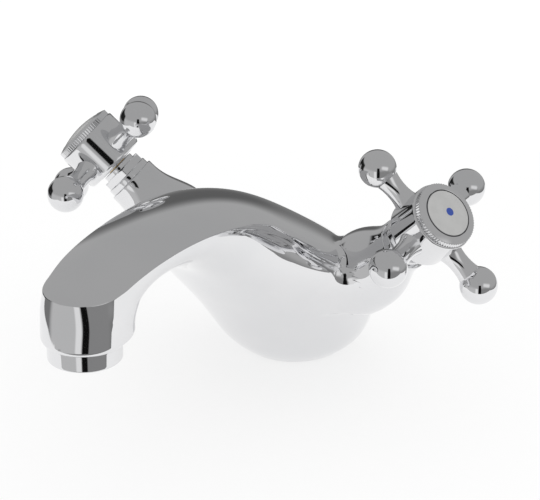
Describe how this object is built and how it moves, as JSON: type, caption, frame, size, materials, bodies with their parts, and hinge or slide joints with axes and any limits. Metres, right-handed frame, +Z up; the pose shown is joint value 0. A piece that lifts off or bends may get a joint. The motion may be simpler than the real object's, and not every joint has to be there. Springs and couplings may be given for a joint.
{
  "type": "basin mixer tap",
  "caption": "Monobloc basin mixer tap: a swept body with a fixed arched spout and aerator, and a quarter-turn cross handle on each side for hot and cold water.",
  "frame": {"origin": "centre of the foot, on the plane of the deck that the gasket rests on", "axes": "+Z up, the spout reaches towards -Y, the cold handle is at +X and the hot handle at -X"},
  "size_m": [0.1939, 0.1856, 0.1013],
  "materials": {
    "chrome_plate": "polished chrome plate on brass",
    "brass": "turned",
    "steel": "turned stainless steel",
    "index_ceramic": "glazed, white",
    "disc_ceramic": "lapped alumina",
    "aerator_plastic": "moulded grey",
    "seal_rubber": "smooth, black"
  },
  "bodies": {
    "tap_body": {"body": "chrome_plate", "base_seal": "seal_rubber", "aerator_housing": "chrome_plate", "aerator_cartridge": "aerator_plastic", "aerator_washer": "seal_rubber", "hot_valve_body": "chrome_plate", "cold_valve_body": "chrome_plate", "hot_body_seal": "seal_rubber", "cold_body_seal": "seal_rubber", "hot_seat_seal": "seal_rubber", "cold_seat_seal": "seal_rubber", "hot_fixed_disc": "disc_ceramic", "cold_fixed_disc": "disc_ceramic"},
    "hot_control": {"hot_handle": "chrome_plate", "hot_handle_screw": "steel", "hot_index_ring": "chrome_plate", "hot_index_disc": "index_ceramic", "hot_spindle": "brass", "hot_spindle_clip": "steel", "hot_spindle_oring": "seal_rubber", "hot_turning_disc": "disc_ceramic"},
    "cold_control": {"cold_handle": "chrome_plate", "cold_handle_screw": "steel", "cold_index_ring": "chrome_plate", "cold_index_disc": "index_ceramic", "cold_spindle": "brass", "cold_spindle_clip": "steel", "cold_spindle_oring": "seal_rubber", "cold_turning_disc": "disc_ceramic"}
  },
  "joints": [
    {"name": "hot_turn", "type": "hinge", "parent": "tap_body", "child": "hot_control", "pos_m": [-0.0704, -0.0261, 0.0744], "axis": [-0.7152, -0.193, 0.6717], "range_deg": [0, 90]},
    {"name": "cold_turn", "type": "hinge", "parent": "tap_body", "child": "cold_control", "pos_m": [0.0704, -0.0261, 0.0744], "axis": [0.7152, -0.193, 0.6717], "range_deg": [-90, 0]}
  ]
}
